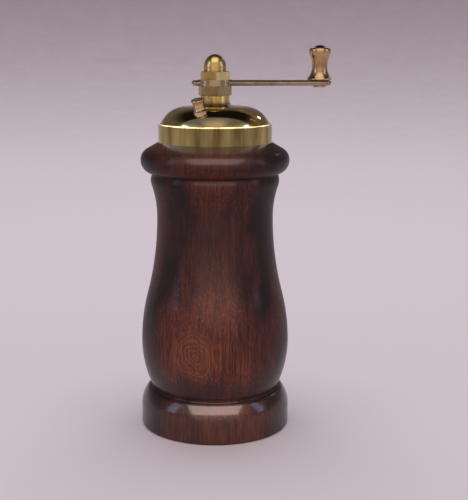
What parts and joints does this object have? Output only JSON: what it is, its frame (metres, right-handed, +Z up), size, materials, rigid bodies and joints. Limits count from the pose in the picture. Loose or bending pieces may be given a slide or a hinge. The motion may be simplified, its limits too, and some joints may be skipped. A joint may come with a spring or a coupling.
{
  "type": "pepper mill",
  "caption": "Turned wooden pepper mill with a brass cap, a turning domed lid, a crank with a spool knob, and conical burrs set by a nut under the arm.",
  "frame": {"origin": "centre of the foot's underside, on the mill's axis", "axes": "+Z up along the mill's axis, +X along the crank arm at rest, -Y towards the viewer of the picture"},
  "size_m": [0.0769, 0.0612, 0.1549],
  "materials": {
    "varnished_wood": "dark stained, glossy varnish",
    "polished_brass": "polished",
    "worn_brass": "satin, browned with age",
    "spindle_steel": "bright turned steel",
    "burr_steel": "hardened, dark"
  },
  "bodies": {
    "mill_body": {"wooden_body": "varnished_wood", "cap_band": "polished_brass", "deck_plate": "polished_brass", "lid_stop_pins": "polished_brass", "spindle_bush": "polished_brass", "bush_washer": "polished_brass", "bush_nut": "polished_brass", "spindle_spring": "spindle_steel", "grinding_ring": "burr_steel", "bottom_bridge": "spindle_steel", "bridge_bush": "worn_brass", "bridge_screws": "spindle_steel", "ring_screws": "spindle_steel"},
    "lid": {"dome_lid": "polished_brass", "lid_knob": "polished_brass", "lid_knob_washer": "polished_brass"},
    "crank": {"crank_arm": "worn_brass", "knob_pin": "polished_brass"},
    "knob": {"crank_knob": "polished_brass"},
    "adjuster": {"adjusting_nut": "worn_brass"},
    "cap_nut": {"acorn_nut": "polished_brass"},
    "spindle": {"drive_spindle": "spindle_steel", "spring_washer": "spindle_steel", "rotor_burr": "burr_steel", "rotor_nut": "spindle_steel"}
  },
  "joints": [
    {"name": "lid_turn", "type": "hinge", "parent": "mill_body", "child": "lid", "pos_m": [0, 0, 0.1235], "axis": [0, 0, 1], "range_deg": [0, 90]},
    {"name": "crank_turn", "type": "hinge", "parent": "mill_body", "child": "crank", "pos_m": [0, 0, 0.139], "axis": [0, 0, 1], "continuous": true},
    {"name": "knob_spin", "type": "hinge", "parent": "crank", "child": "knob", "pos_m": [0.0414, 0, 0.1414], "axis": [0, 0, 1], "continuous": true},
    {"name": "adjuster_turn", "type": "hinge", "parent": "crank", "child": "adjuster", "pos_m": [0, 0, 0.1352], "axis": [0, 0, 1], "range_deg": [-217, 217]},
    {"name": "cap_nut_turn", "type": "hinge", "parent": "crank", "child": "cap_nut", "pos_m": [0, 0, 0.1414], "axis": [0, 0, 1], "range_deg": [-217, 217]},
    {"name": "grind_lift", "type": "slide", "parent": "crank", "child": "spindle", "axis": [0, 0, 1], "range_m": [-0.0006, 0.0006], "deforming": ["spindle_spring"]}
  ],
  "couplings": [
    {"joint": "adjuster_turn", "follows": "grind_lift", "rad_per_m": -6283.2},
    {"joint": "cap_nut_turn", "follows": "grind_lift", "rad_per_m": -6283.2}
  ]
}
